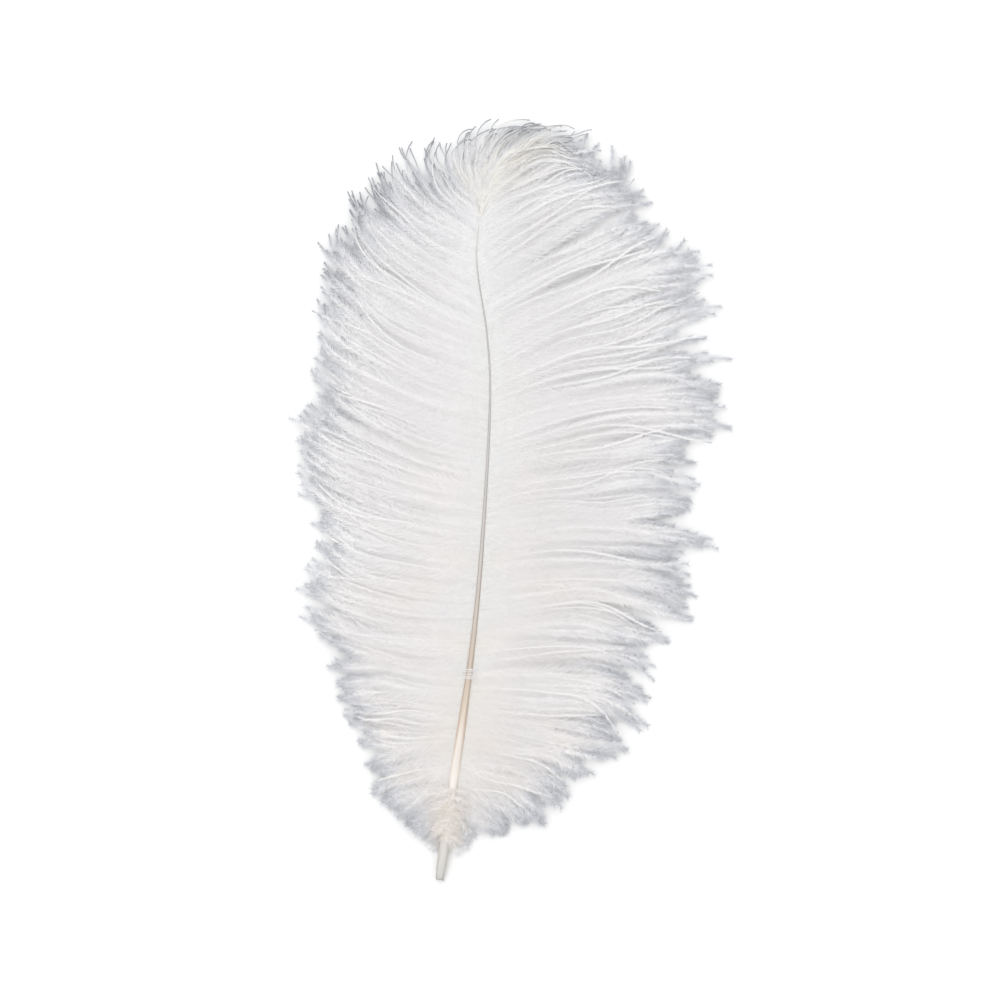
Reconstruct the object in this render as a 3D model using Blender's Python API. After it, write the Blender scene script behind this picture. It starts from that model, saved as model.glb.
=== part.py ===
"""A white ostrich plume lying on a flat surface, grown as one piece.

A tapering shaft runs from the quill tip to the curled crest, and the soft barbs on its two sides hang
together in drooping locks that come down to the surface. Everything is in metres. +Y runs towards the
crest, +X towards the fuller side of the plume and +Z up. The origin is on the surface, under the middle of
the plume's outline.
"""

import math
import random

import bmesh
import bpy
from mathutils import Vector

# The quill tip, seen from the middle of the plume's outline.
QUILL_TIP_X = -0.0293
QUILL_TIP_Y = -0.1523

# The shaft's route: across and along from the quill tip, and the height of its middle over the surface.
SHAFT_ROUTE = (
    (0.0000, 0.0000, 0.0022),
    (0.0045, 0.0320, 0.0046),
    (0.0125, 0.0880, 0.0090),
    (0.0168, 0.1320, 0.0114),
    (0.0200, 0.1870, 0.0124),
    (0.0190, 0.2150, 0.0122),
    (0.0148, 0.2460, 0.0116),
    (0.0172, 0.2690, 0.0106),
    (0.0193, 0.2795, 0.0096),
    (0.0262, 0.2878, 0.0082),
    (0.0430, 0.2918, 0.0058),
)
ROUTE_STEP = 0.001

# The shaft's radius by the distance from the quill tip.
SHAFT_RADII = (
    (0.000, 0.0014),
    (0.003, 0.0020),
    (0.034, 0.0021),
    (0.060, 0.0018),
    (0.080, 0.0014),
    (0.110, 0.0011),
    (0.155, 0.0010),
    (0.220, 0.0007),
    (0.320, 0.0005),
)
SHAFT_SIDES = 8
SHAFT_RINGS = 30

# The barbs of each side by the distance from the quill tip: the way they leave the shaft and the way their
# tips point, in degrees clockwise from +Y, and their length.
RIGHT_BARBS = (
    (0.028, 98, 148, 0.022),
    (0.038, 95, 134, 0.040),
    (0.060, 88, 114, 0.064),
    (0.100, 84, 106, 0.084),
    (0.145, 78, 98, 0.092),
    (0.175, 70, 92, 0.096),
    (0.205, 60, 84, 0.094),
    (0.235, 50, 76, 0.082),
    (0.255, 48, 80, 0.065),
    (0.272, 46, 90, 0.052),
    (0.288, 46, 104, 0.034),
    (0.300, 70, 112, 0.024),
    (0.312, 88, 104, 0.011),
)
LEFT_BARBS = (
    (0.028, -100, -146, 0.019),
    (0.038, -97, -128, 0.030),
    (0.060, -92, -80, 0.049),
    (0.100, -90, -68, 0.070),
    (0.145, -84, -59, 0.079),
    (0.175, -80, -52, 0.082),
    (0.205, -76, -44, 0.081),
    (0.235, -68, -42, 0.071),
    (0.255, -58, -36, 0.054),
    (0.270, -48, -4, 0.033),
    (0.278, -20, 94, 0.033),
    (0.286, 0, 104, 0.029),
    (0.294, 24, 112, 0.029),
    (0.302, 44, 112, 0.025),
    (0.312, 66, 110, 0.014),
)

# The locks: where they stand along the shaft, and how much they vary.
FIRST_LOCK = 0.031
LAST_LOCK = 0.308
LOCKS_A_SIDE = 26
LOCK_SEED = 7
TURN_SPREAD = 3.0
LENGTH_SPREAD = 0.08
WAVE_SPREAD = 5.0
TIP_LIFT = 0.0025

# A lock's full width by the distance from the quill tip, and the shares of it and the heights that the lock
# has from its root at the shaft to its tip.
FULL_WIDTHS = (
    (0.031, 0.0110),
    (0.050, 0.0128),
    (0.080, 0.0132),
    (0.255, 0.0132),
    (0.280, 0.0058),
    (0.312, 0.0046),
)
LOCK_WIDTHS = ((0.0, 0.8), (0.3, 0.94), (0.7, 1.0), (0.87, 0.8), (1.0, 0.2))
LOCK_HEIGHTS = ((0.0, 0.0013), (0.12, 0.0034), (0.5, 0.0030), (0.85, 0.0022), (1.0, 0.0008))
LOCK_RINGS = 8
LANDING = 0.56
FLAT_UNTIL = 0.72
ROOT_DROP = 0.0011
ROOT_BACK = 0.0020
SECTION = ((-0.5, 0.0), (0.5, 0.0), (0.34, 0.72), (0.0, 1.0), (-0.34, 0.72))

WHITE_BARBS = (0.86, 0.86, 0.87, 1.0)
BARB_ROUGHNESS = 0.9


def between(stations, where, column=1):
    """The value in a column of the stations at a place between two of them."""
    for low, high in zip(stations, stations[1:]):
        if where <= high[0]:
            share = (where - low[0]) / (high[0] - low[0])
            return low[column] + (high[column] - low[column]) * max(0.0, share)
    return stations[-1][column]


def ease(share):
    """A smooth step from 0 to 1."""
    share = min(1.0, max(0.0, share))
    return share * share * (3.0 - 2.0 * share)


def smooth_line(points, step):
    """Points a step apart along the smooth curve through the route's points."""
    ends = [points[0] * 2 - points[1]] + points + [points[-1] * 2 - points[-2]]
    line = [points[0]]
    for before, low, high, after in zip(ends, ends[1:], ends[2:], ends[3:]):
        count = max(2, round((high - low).length / step))
        for index in range(1, count + 1):
            share = index / count
            line.append(
                0.5
                * (
                    2 * low
                    + (high - before) * share
                    + (2 * before - 5 * low + 4 * high - after) * share**2
                    + (3 * low - before - 3 * high + after) * share**3
                )
            )
    return line


def shaft_line():
    """The shaft's middle line: pairs of the distance from the quill tip and the point there."""
    tip = Vector((QUILL_TIP_X, QUILL_TIP_Y, 0.0))
    points = smooth_line([tip + Vector(place) for place in SHAFT_ROUTE], ROUTE_STEP)
    line = [(0.0, points[0])]
    for low, high in zip(points, points[1:]):
        line.append((line[-1][0] + (high - low).length, high))
    return line


def point_on(line, distance):
    """The point of a measured line at a distance from its start."""
    return between(line, distance)


def forward(heading):
    """The way along the surface that a heading in radians points, clockwise from +Y."""
    return Vector((math.sin(heading), math.cos(heading), 0.0))


def loft(name, rings):
    """A closed tube through rings of points, with flat ends."""
    shape = bmesh.new()
    loops = [[shape.verts.new(point) for point in ring] for ring in rings]
    for low, high in zip(loops, loops[1:]):
        for index in range(len(low)):
            after = (index + 1) % len(low)
            shape.faces.new((low[index], low[after], high[after], high[index]))
    shape.faces.new(list(reversed(loops[0])))
    shape.faces.new(loops[-1])
    bmesh.ops.recalc_face_normals(shape, faces=shape.faces)
    bmesh.ops.triangulate(shape, faces=shape.faces)
    mesh = bpy.data.meshes.new(name)
    shape.to_mesh(mesh)
    shape.free()
    return bpy.data.objects.new(name, mesh)


def shaft_body(line):
    """The round shaft, thick in the bare quill and fine at the crest."""
    length = line[-1][0]
    rings = []
    for index in range(SHAFT_RINGS):
        distance = length * (index / (SHAFT_RINGS - 1)) ** 1.15
        middle = point_on(line, distance)
        ahead = point_on(line, min(length, distance + ROUTE_STEP))
        behind = point_on(line, max(0.0, distance - ROUTE_STEP))
        along = (ahead - behind).normalized()
        across = along.cross(Vector((0, 0, 1))).normalized()
        up = across.cross(along)
        radius = between(SHAFT_RADII, distance)
        turns = [math.tau * side / SHAFT_SIDES for side in range(SHAFT_SIDES)]
        rings.append([middle + across * radius * math.cos(a) + up * radius * math.sin(a) for a in turns])
    return loft("feather", rings)


def lock_route(line, barbs, distance, chance):
    """A lock's middle line: the share, the point and the heading of each ring from root to tip."""
    turn = chance.uniform(-TURN_SPREAD, TURN_SPREAD)
    wave = chance.uniform(-WAVE_SPREAD, WAVE_SPREAD)
    lift = chance.uniform(0.0, TIP_LIFT)
    length = between(barbs, distance, 3) * (1 + chance.uniform(-LENGTH_SPREAD, LENGTH_SPREAD))
    start = between(barbs, distance, 1) + turn
    end = between(barbs, distance, 2) + turn

    def heading_at(share):
        return math.radians(start + (end - start) * share + wave * math.sin(math.tau * share))

    root = point_on(line, distance)
    flat = Vector((root.x, root.y, 0.0)) - forward(heading_at(0.0)) * ROOT_BACK
    step = 1 / (LOCK_RINGS - 1)
    route = []
    for index in range(LOCK_RINGS):
        share = index * step
        droop = (root.z - ROOT_DROP) * (1 - ease(share / LANDING))
        height = droop + lift * ease((share - FLAT_UNTIL) / (1 - FLAT_UNTIL))
        route.append((share, flat + Vector((0, 0, height)), heading_at(share)))
        flat = flat + forward(heading_at(share + step / 2)) * (length + ROOT_BACK) * step
    return route


def lock_body(name, width, route):
    """One tapering lock with a flat underside and a ridged top."""
    rings = []
    for share, middle, heading in route:
        across = Vector((math.cos(heading), -math.sin(heading), 0.0))
        wide = width * between(LOCK_WIDTHS, share)
        high = between(LOCK_HEIGHTS, share)
        rings.append([middle + across * wide * x + Vector((0, 0, high * z)) for x, z in SECTION])
    return loft(name, rings)


def grow_locks(line):
    """Every lock of both sides."""
    chance = random.Random(LOCK_SEED)
    locks = []
    for side, barbs in (("left", LEFT_BARBS), ("right", RIGHT_BARBS)):
        for number in range(LOCKS_A_SIDE):
            distance = FIRST_LOCK + (LAST_LOCK - FIRST_LOCK) * number / (LOCKS_A_SIDE - 1)
            route = lock_route(line, barbs, distance, chance)
            locks.append(lock_body(f"{side}_lock_{number:02d}", between(FULL_WIDTHS, distance), route))
    return locks


def collection(name):
    group = bpy.data.collections.new(name)
    bpy.context.scene.collection.children.link(group)
    return group


def barb_material():
    """The white of the barbs, soft and without gloss."""
    material = bpy.data.materials.new("white_barbs")
    material.use_nodes = True
    shader = material.node_tree.nodes["Principled BSDF"]
    shader.inputs["Base Color"].default_value = WHITE_BARBS
    shader.inputs["Roughness"].default_value = BARB_ROUGHNESS
    shader.inputs["Metallic"].default_value = 0.0
    return material


def build():
    for thing in list(bpy.data.objects):
        bpy.data.objects.remove(thing)
    plume = collection("ostrich_feather")
    joined = collection("joined_locks")

    line = shaft_line()
    feather = shaft_body(line)
    feather.data.materials.append(barb_material())
    plume.objects.link(feather)
    for lock in grow_locks(line):
        lock.hide_render = True
        lock.display_type = "WIRE"
        joined.objects.link(lock)

    union = feather.modifiers.new("locks_on_shaft", "BOOLEAN")
    union.operation = "UNION"
    union.operand_type = "COLLECTION"
    union.solver = "EXACT"
    union.collection = joined


build()
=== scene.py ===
"""The looks of a white ostrich plume that lies flat: a horn shaft, and soft barbs that carry fine barbules.

Everything is in metres, in the frame of the solid that it replaces: +Y towards the crest and +Z up from the
surface. A distance is measured along the shaft from the quill tip, and a heading is in degrees clockwise from
+Y. A share of a barb is a share of the way from its root to its tip.
"""

import math
import random
from collections import namedtuple

import bmesh
import bpy
import numpy as np
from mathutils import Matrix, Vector


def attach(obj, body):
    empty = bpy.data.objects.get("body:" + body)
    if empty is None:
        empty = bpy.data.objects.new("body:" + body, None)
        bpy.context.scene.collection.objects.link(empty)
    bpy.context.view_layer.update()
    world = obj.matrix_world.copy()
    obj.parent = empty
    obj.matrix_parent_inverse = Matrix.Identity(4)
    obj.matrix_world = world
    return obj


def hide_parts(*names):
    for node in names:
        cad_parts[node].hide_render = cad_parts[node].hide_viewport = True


# -------------- driving sizes, as the solid has them

QUILL_TIP = (-0.0293, -0.1523)
SHAFT_ROUTE = (
    (0.0000, 0.0000, 0.0022),
    (0.0045, 0.0320, 0.0046),
    (0.0125, 0.0880, 0.0090),
    (0.0168, 0.1320, 0.0114),
    (0.0200, 0.1870, 0.0124),
    (0.0190, 0.2150, 0.0122),
    (0.0148, 0.2460, 0.0116),
    (0.0172, 0.2690, 0.0106),
    (0.0193, 0.2795, 0.0096),
    (0.0262, 0.2878, 0.0082),
    (0.0430, 0.2918, 0.0058),
)
ROUTE_STEP = 0.001

# By the distance: the barbs' heading at the shaft and at their tips, and their length.
RIGHT_BARBS = (
    (0.028, 98, 148, 0.022),
    (0.038, 95, 134, 0.040),
    (0.060, 88, 114, 0.064),
    (0.100, 84, 106, 0.084),
    (0.145, 78, 98, 0.092),
    (0.175, 70, 92, 0.096),
    (0.205, 60, 84, 0.094),
    (0.235, 50, 76, 0.082),
    (0.255, 48, 80, 0.065),
    (0.272, 46, 90, 0.052),
    (0.288, 46, 104, 0.034),
    (0.300, 70, 112, 0.024),
    (0.312, 88, 104, 0.011),
)
LEFT_BARBS = (
    (0.028, -100, -146, 0.019),
    (0.038, -97, -128, 0.030),
    (0.060, -92, -80, 0.049),
    (0.100, -90, -68, 0.070),
    (0.145, -84, -59, 0.079),
    (0.175, -80, -52, 0.082),
    (0.205, -76, -44, 0.081),
    (0.235, -68, -42, 0.071),
    (0.255, -58, -36, 0.054),
    (0.270, -48, -4, 0.033),
    (0.278, -20, 94, 0.033),
    (0.286, 0, 104, 0.029),
    (0.294, 24, 112, 0.029),
    (0.302, 44, 112, 0.025),
    (0.312, 66, 110, 0.014),
)
FIRST_LOCK = 0.031
LAST_LOCK = 0.308
LOCKS_A_SIDE = 26
LOCK_SEED = 7
TURN_SPREAD = 3.0
LENGTH_SPREAD = 0.08
WAVE_SPREAD = 5.0
TIP_LIFT = 0.0025
LANDING = 0.56
FLAT_UNTIL = 0.72
ROOT_DROP = 0.0011

# The height of the barbs on top over the middle line of their lock, by the share of a barb.
BARB_HEIGHTS = ((0.0, 0.0013), (0.12, 0.0022), (0.5, 0.0030), (0.85, 0.0022), (1.0, 0.0008))

# -------------- the shaft

SHAFT_RADII = (
    (0.000, 0.0014),
    (0.003, 0.0020),
    (0.034, 0.0021),
    (0.060, 0.0018),
    (0.080, 0.00135),
    (0.110, 0.00098),
    (0.150, 0.00072),
    (0.200, 0.00045),
    (0.260, 0.00036),
    (0.314, 0.00012),
)
SHAFT_RINGS = 170
SHAFT_SIDES = 24

# The split end of the quill: the most that its corners stand out past its tip, and their greatest flare.
FRAY_SEED = 5
FRAY_LENGTH = 0.0012
FRAY_FLARE = 1.3

# -------------- the barbs

BARB_SEED = 21
FIRST_BARB = 0.0265
LAST_BARB = 0.3095
BARBS_A_SIDE = 520
BARB_POINTS = 20
ROOT_RADIUS = 0.00012
TIP_RADIUS = 0.00007

# Where a barb stands in its own space along the shaft, as a share of it.
BARB_PLACES = (0.2, 0.8)

# The barbs stand in tufts that turn, reach and sway together. From a share of its way on, each barb is
# drawn to the middle of its tuft, and more strongly at its tip.
BARBS_A_TUFT = (4, 15)
TUFT_TURN = 1.6
OWN_TUFT_TURN = 0.5
TUFT_REACH = (0.94, 1.02)
TUFT_SWAY = 0.0015
TUFT_SWAY_BY = 0.6
TUFT_WAVES = (0.6, 1.7)
TUFT_GATHERS = (0.1, 0.35)
GATHER_FROM = 0.3
TIP_GATHER = 0.35
TIP_GATHER_FROM = 0.72

# How far a barb reaches, as a share of its lock. It is less at the edge of its tuft, and the short barbs
# stop about where the bare wire of the others starts.
BARB_REACH = (0.88, 1.03)
EDGE_SHORTENING = 0.10
SHORT_SHARE = 0.3
SHORTENINGS = (0.6, 1.0)
MOST_SHORTENED = 0.4

# How far a barb sways to its sides, and how far it drifts off its path towards its tip. The drift is a share
# of the barb's length.
SWAY = 0.0010
SWAY_GROWTH = 1.5
SWAY_WAVES = (1.0, 2.6)
DRIFT = 0.022
DRIFT_FROM = 0.35
DRIFT_GROWTH = 1.5

# How much of the drawing together, the drift, the shared sway and the folds each side has. The left vane is
# the smoother one.
LEFT_LOOSENESS = 0.5
RIGHT_LOOSENESS = 1.0

# The barbs underneath.
UNDER_SHARE = 0.38
UNDER_DEPTHS = (0.5, 0.75)
UNDER_SWAY = 0.3
UNDER_GATHER_FROM = 0.6

# The stray barbs, that lie over the others: thicker, and with shorter barbules over most of their length.
# The ones that don't end in bare wire reach less far.
STRAY_SHARE = 0.15
STRAY_DRIFT = 0.13
STRAY_RISE = 0.0009
STRAY_FLUFF = 0.4
STRAY_FLUFF_FALL = (0.15, 0.45)
STRAY_THICKENING = 1.35
STRAY_REACH = 0.91
SHORTEST_WIRE = 0.0045

# The height of a barb: its depth among the others as a share, which it has by a share of the way, the soft
# folds of the vane, and the lift of its tip.
TOP_DEPTHS = (0.88, 1.0)
LAYERED_BY = 0.5
FOLD_STEP = 0.0040
FOLD_SHIFT = 0.3
FOLD_RISE = 0.0007
FOLD_LAG = 0.006
FOLD_FALL = (0.75, 1.05)
TIP_RISE = 0.0016
TIP_RISE_GROWTH = 4
LOWEST_BARB = 0.0004

# How far a barb is rolled about itself at its root, and how much more by its tip, in radians.
ROOT_ROLL = 0.2
TIP_ROLL = 0.5

# By the distance: how far the ends of the barbs on top curl, in degrees clockwise, how far the ends of the
# ones under them do, and by how much that varies.
RIGHT_CURLS = (
    (0.03, 8, 8, 14),
    (0.10, 4, 4, 12),
    (0.19, 8, 8, 12),
    (0.22, 6, -60, 16),
    (0.26, 8, -105, 18),
    (0.28, 12, -60, 20),
    (0.30, 20, 10, 20),
)
LEFT_CURLS = (
    (0.03, -8, -8, 14),
    (0.10, 6, 6, 12),
    (0.20, 20, 20, 24),
    (0.25, 50, 40, 40),
    (0.272, 80, 60, 50),
    (0.282, 18, 18, 8),
    (0.31, 2, 2, 8),
)
CURL_FROM = 0.62
CURL_GROWTH = 1.5
MOST_CURLED = 2.0

# The share of the barbs that are there, by the distance.
FULLNESS = ((0.274, 1.0), (0.282, 0.55), (0.290, 0.32), (0.312, 0.3))

# How far the barbs underneath are drawn together to a point, by the distance.
UNDER_GATHERS = ((0.20, 0.15), (0.235, 0.75), (0.275, 0.75), (0.29, 0.1))

# How far a barb's heading strays from its neighbours', by the distance.
TURNS = ((0.03, 3.0), (0.08, 1.2), (0.22, 1.5), (0.26, 4.0), (0.29, 4.0), (0.31, 3.0))

# The last stretch of a barb, where its barbules are short and it looks like bare wire, their length there
# as a share, and the wire's radius, by the distance. Some of the barbs end where that stretch would start.
RIGHT_BARE = ((0.27, 0.0, 0.4, 0.00028), (0.285, 0.008, 0.15, 0.00024), (0.30, 0.014, 0.08, 0.00021))
LEFT_BARE = (
    (0.19, 0.0, 0.5, 0.00028),
    (0.235, 0.008, 0.32, 0.00028),
    (0.252, 0.014, 0.20, 0.00028),
    (0.275, 0.017, 0.14, 0.00027),
    (0.281, 0.022, 0.05, 0.00025),
    (0.290, 0.038, 0.0, 0.00021),
)

# A barb turns bare from this many lengths of its wire before its tip, over one such length.
BARE_BLEND = 1.4

# How much longer the barbs of the crest's comb are than their locks, and how much of the drawing together
# they keep, by the distance.
LEFT_COMB = ((0.276, 1.0, 1.0), (0.284, 1.10, 0.3), (0.312, 1.25, 0.3))
RIGHT_COMB = ((0.0, 1.0, 1.0), (0.312, 1.0, 1.0))

# The down over the quill, below the vanes. Its barbs are shortest at the bottom. Each is white up to the
# share DOWN_WHITE of it, and from there to its tip goes DOWN_GREY further up the ramp of greys.
DOWN_BARBS = 150
DOWN_STRETCH = (0.017, 0.036)
DOWN_CROWDING = 0.8
DOWN_LENGTH = (0.006, 0.021)
DOWN_SHORTENINGS = (0.5, 1.0)
LOWEST_DOWN = 0.35
DOWN_STARTS = (60, 150)
DOWN_ENDS = (125, 176)
DOWN_ROOTS = (0.0, 0.0016)
DOWN_TOPS = (0.0, 0.0008)
DOWN_LOWS = (0.0006, 0.0030)
DOWN_FALL = (0.1, 0.85)
DOWN_FLUFF = ((0.0, 0.5), (0.2, 0.8), (0.7, 0.75), (1.0, 0.4))
DOWN_DENSITY = 0.8
DOWN_ROLL = 0.8
DOWN_WHITE = 0.45
DOWN_GREY = 0.42

# The short pale barbs that lie across the shaft. The fluff of such a loose barb is the greatest length of its
# barbules, and the start and stretch of the swell that they follow. Its tint is its root's place on the ramp
# of greys, and how much further up it its tip is. Its hue is the place up the plume whose cream it has.
CROSSING_BARBS = 5
CROSSING_PLACES = (0.3, 0.7)
CROSSING_STRETCH = (0.0805, 0.0850)
CROSSING_LENGTH = (0.006, 0.013)
CROSSING_HEADINGS = (88, 98)
CROSSING_STARTS = (0.0018, 0.0032)
CROSSING_RISE = (0.0002, 0.0006)
CROSSING_DROP = 0.0016
CROSSING_DROP_REACH = 0.003
CROSSING_FLUFF = (0.0009, 0.15, 0.8)
CROSSING_DENSITY = 0.6
CROSSING_ROLL = 0.5
CROSSING_TINT = (0.2, 0.2)
CROSSING_HUE = 0.5

# The soft creamy barbs that fan out over the shaft where the crest begins to curl: where they stand, the
# way they leave the shaft, how far they bend on to their tips, and how high they lie over the shaft.
COVER_BARBS = 26
COVER_STRETCH = (0.2645, 0.2730)
COVER_TURNS = (-26.0, 46.0)
COVER_STRAY = 4.0
COVER_BEND = 50.0
COVER_BEND_GROWTH = 1.3
LEAST_COVER_BEND = 0.6
COVER_LENGTH = (0.014, 0.030)
COVER_RISE = 0.0010
COVER_RISES = (0.6, 1.0)
COVER_FALL = 28.0
LOWEST_COVER = 0.0036
COVER_FLUFF = (0.0024, 0.12, 0.76)
COVER_DENSITY = 0.6
COVER_ROLL = 0.3
COVER_TINT = (0.28, 0.50)
COVER_HUE = 0.93

# -------------- the barbules

BARBULE_LENGTH = 0.0042
BARBULE_WIDTH = 0.00013
TIP_BARBULE_WIDTH = 0.00022
BARBULE_BROADENING = (0.5, 0.9)
BARBULE_SPACING = 0.00017

# A barbule's length by the share of the barb, and by the barb's distance, and how much single ones differ.
FLUFF_OUTWARD = ((0.0, 0.35), (0.06, 0.65), (0.3, 1.0), (0.6, 0.95), (0.8, 0.72), (0.93, 0.52), (1.0, 0.42))
FLUFF_UPWARD = (
    (0.028, 1.25),
    (0.06, 1.18),
    (0.1, 1.12),
    (0.2, 1.12),
    (0.25, 1.02),
    (0.265, 0.86),
    (0.275, 0.64),
    (0.286, 0.5),
    (0.314, 0.4),
)
BARBULE_LENGTHS = (0.6, 1.25)

# The share of the barbules that are there, by the share of the barb.
DENSITY_OUTWARD = ((0.0, 1.0), (0.6, 1.0), (0.85, 0.8), (1.0, 0.65))

# The least and the greatest angle between a barbule and its barb in radians, and how far the barbule lifts
# or sinks, and is turned about itself.
LEAST_ANGLE = 0.42
GREATEST_ANGLE = 1.0
BARBULE_LIFT = 0.22
BARBULE_SPIN = 0.75

# Barbules that would go through the surface lie between these heights over it.
FLOOR_FILM = 0.00006
FLOOR_PILE = 0.0005

# How far apart the seeds of the pieces are, and of the two rows of a barb.
PIECE_SEEDS = 100
ROW_SEEDS = 10

# -------------- the colours

# The last stretch of a barb, over which its white turns to the grey of its thin tip, for the barbs on top
# and for the ones under them, and how far it turns, by the distance.
RIGHT_FADES = (
    (0.03, 0.016, 0.028, 1.0),
    (0.10, 0.017, 0.036, 1.0),
    (0.20, 0.017, 0.038, 1.0),
    (0.27, 0.017, 0.030, 1.0),
    (0.285, 0.012, 0.016, 0.8),
    (0.31, 0.010, 0.012, 0.8),
)
LEFT_FADES = (
    (0.03, 0.014, 0.020, 1.0),
    (0.10, 0.011, 0.020, 0.95),
    (0.20, 0.016, 0.026, 1.0),
    (0.25, 0.031, 0.040, 1.0),
    (0.268, 0.027, 0.036, 1.0),
    (0.280, 0.026, 0.034, 1.0),
    (0.290, 0.030, 0.034, 0.97),
)

# The factors between which that stretch differs from barb to barb, and from one stray barb to the next.
FADE_SPREAD = (0.6, 1.4)
STRAY_FADE_SPREAD = (0.1, 0.6)

# The place on the ramps of greys where the white ends, and the least length that the white is taken to have.
GREY_FROM = 0.5
LEAST_UNFADED = 1e-6

# The ramps of greys, from root to tip: of the barbs themselves, and of their barbules, which stay paler.
WHITE = (0.945, 0.936, 0.942)
ROOT_WHITE = (0.90, 0.90, 0.90)
BARB_GREYS = (
    (0.0, ROOT_WHITE),
    (0.12, WHITE),
    (GREY_FROM, WHITE),
    (0.72, (0.83, 0.83, 0.85)),
    (0.88, (0.56, 0.57, 0.60)),
    (0.97, (0.38, 0.39, 0.42)),
)
BARBULE_GREYS = (
    (0.0, ROOT_WHITE),
    (0.12, WHITE),
    (GREY_FROM, WHITE),
    (0.72, (0.87, 0.87, 0.89)),
    (0.88, (0.73, 0.74, 0.77)),
    (0.97, (0.57, 0.58, 0.61)),
)

# The cream of the fibre, in the vanes and in the crest, and how much of it there is up the plume and out
# to the barbs' tips.
CREAM = (1.0, 0.945, 0.865)
CREST_CREAM = (0.985, 0.965, 0.865)
CREAM_HUES = ((0.6, CREAM), (0.84, CREST_CREAM))
CREAM_UPWARD = (
    (0.05, 1.0),
    (0.13, 0.6),
    (0.24, 0.42),
    (0.4, 0.25),
    (0.62, 0.1),
    (0.825, 0.0),
    (0.86, 0.7),
    (0.935, 0.95),
    (0.99, 0.4),
)
CREAM_OUTWARD = ((0.0, 1.0), (0.16, 0.8), (0.42, 0.5), (0.65, 0.35), (0.86, 0.0))

# The painted shade between the barbs, a cool grey that darkens the fibre's colour where the hollows would be
# shadowed, and how much of it there is out to the tips.
PAINTED_SHADE = (0.87, 0.88, 0.90, 1.0)
PAINTED_SHADE_OUTWARD = ((0.30, 0.0), (0.5, 0.7), (0.75, 1.0), (1.0, 0.4))

# The horn of the shaft along its middle and along its sides, up the plume, the sides darker with painted
# shade where the barbs meet the shaft, and how much of that shaded colour there is round it, from one side
# over the top to the other.
HORN_MIDDLE = (
    (0.0, (0.66, 0.65, 0.63)),
    (0.07, (0.72, 0.70, 0.66)),
    (0.11, (0.90, 0.87, 0.82)),
    (0.18, (0.86, 0.79, 0.72)),
    (0.22, (0.71, 0.62, 0.52)),
    (0.27, (0.62, 0.54, 0.46)),
    (0.34, (0.63, 0.58, 0.53)),
    (0.46, (0.60, 0.58, 0.57)),
    (0.75, (0.53, 0.51, 0.50)),
    (0.83, (0.84, 0.82, 0.79)),
    (0.87, (0.93, 0.91, 0.88)),
)
HORN_WITH_SIDE_SHADE = (
    (0.0, (0.54, 0.52, 0.48)),
    (0.08, (0.68, 0.64, 0.58)),
    (0.13, (0.84, 0.77, 0.70)),
    (0.20, (0.57, 0.44, 0.34)),
    (0.34, (0.44, 0.36, 0.30)),
    (0.43, (0.40, 0.35, 0.32)),
    (0.49, (0.36, 0.34, 0.33)),
    (0.75, (0.33, 0.31, 0.29)),
    (0.80, (0.40, 0.37, 0.34)),
    (0.83, (0.68, 0.63, 0.58)),
    (0.86, (0.90, 0.86, 0.81)),
)
SIDE_SHADE_AROUND = ((0.0, 1.0), (0.12, 1.0), (0.19, 0.15), (0.31, 0.15), (0.38, 1.0), (0.5, 1.0))

# Noise over the map, as its scales out and up and its detail, and what it turns into: fine streaks along
# the fibre, painted shade in the hollows between the barbs, the patches of cream, and the grain of the horn.
STREAKS = (4.0, 330.0, 2.0)
STREAK_GREYS = ((0.25, 0.965), (0.7, 1.0))
PAINTED_SHADE_NOISE = (11.0, 90.0, 3.0)
PAINTED_SHADE_SHARES = ((0.50, 0.0), (0.64, 1.0))
PATCHES = (2.6, 16.0, 1.0)
PATCH_SHARES = ((0.38, 0.35), (0.62, 1.0))
GRAIN = (26.0, 24.0, 2.0)
GRAIN_GREYS = ((0.3, 0.86), (0.7, 1.0))

# Roughness and gloss.
FIBRE_FINISH = (0.85, 0.25)
HORN_FINISH = (0.38, 0.45)
FLOOR_FINISH = (0.9, 0.0)
FLOOR_WHITE = (0.93, 0.93, 0.93, 1.0)

# -------------- the map and the stage

GUIDE_VALUES = ("along", "upward", "fluff", "broad", "density", "thick", "roll")
UV_MAP = "OFBake"
UV_REACH = 0.97

# The patch of the map that a barbule covers, and the one that an end of the shaft covers, with its place.
BARBULE_PATCH = (0.02, 0.004)
END_PATCH = (0.03, 0.002)
END_PLACE = 0.6

FLOOR_SIZE = 6.0
SKY_WHITE = (1.0, 1.0, 1.0, 1.0)
SKY_STRENGTH = 0.90
LAMP_SIZE = 1.6
LAMP_POWER = 12.0
LAMP_PLACE = (-0.35, 0.45, 1.7)
CAMERA_PLACE = (-0.0053, -0.0015, 1.2)
CAMERA_LENS = 108.0
CAMERA_SENSOR = 36.0

# -------------- lines


def between(stations, where, column=1):
    """The value in a column of the stations at a place between two of them."""
    for low, high in zip(stations, stations[1:]):
        if where <= high[0]:
            share = (where - low[0]) / (high[0] - low[0])
            return low[column] + (high[column] - low[column]) * max(0.0, share)
    return stations[-1][column]


def within(stretch, share):
    """The value at a share of the way from the start of a stretch to its end."""
    return stretch[0] + (stretch[1] - stretch[0]) * share


def ease(share, start=0.0, end=1.0):
    """A smooth step from 0 at the start to 1 at the end, for a number or an array."""
    share = np.clip((share - start) / (end - start), 0.0, 1.0)
    return share * share * (3.0 - 2.0 * share)


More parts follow.
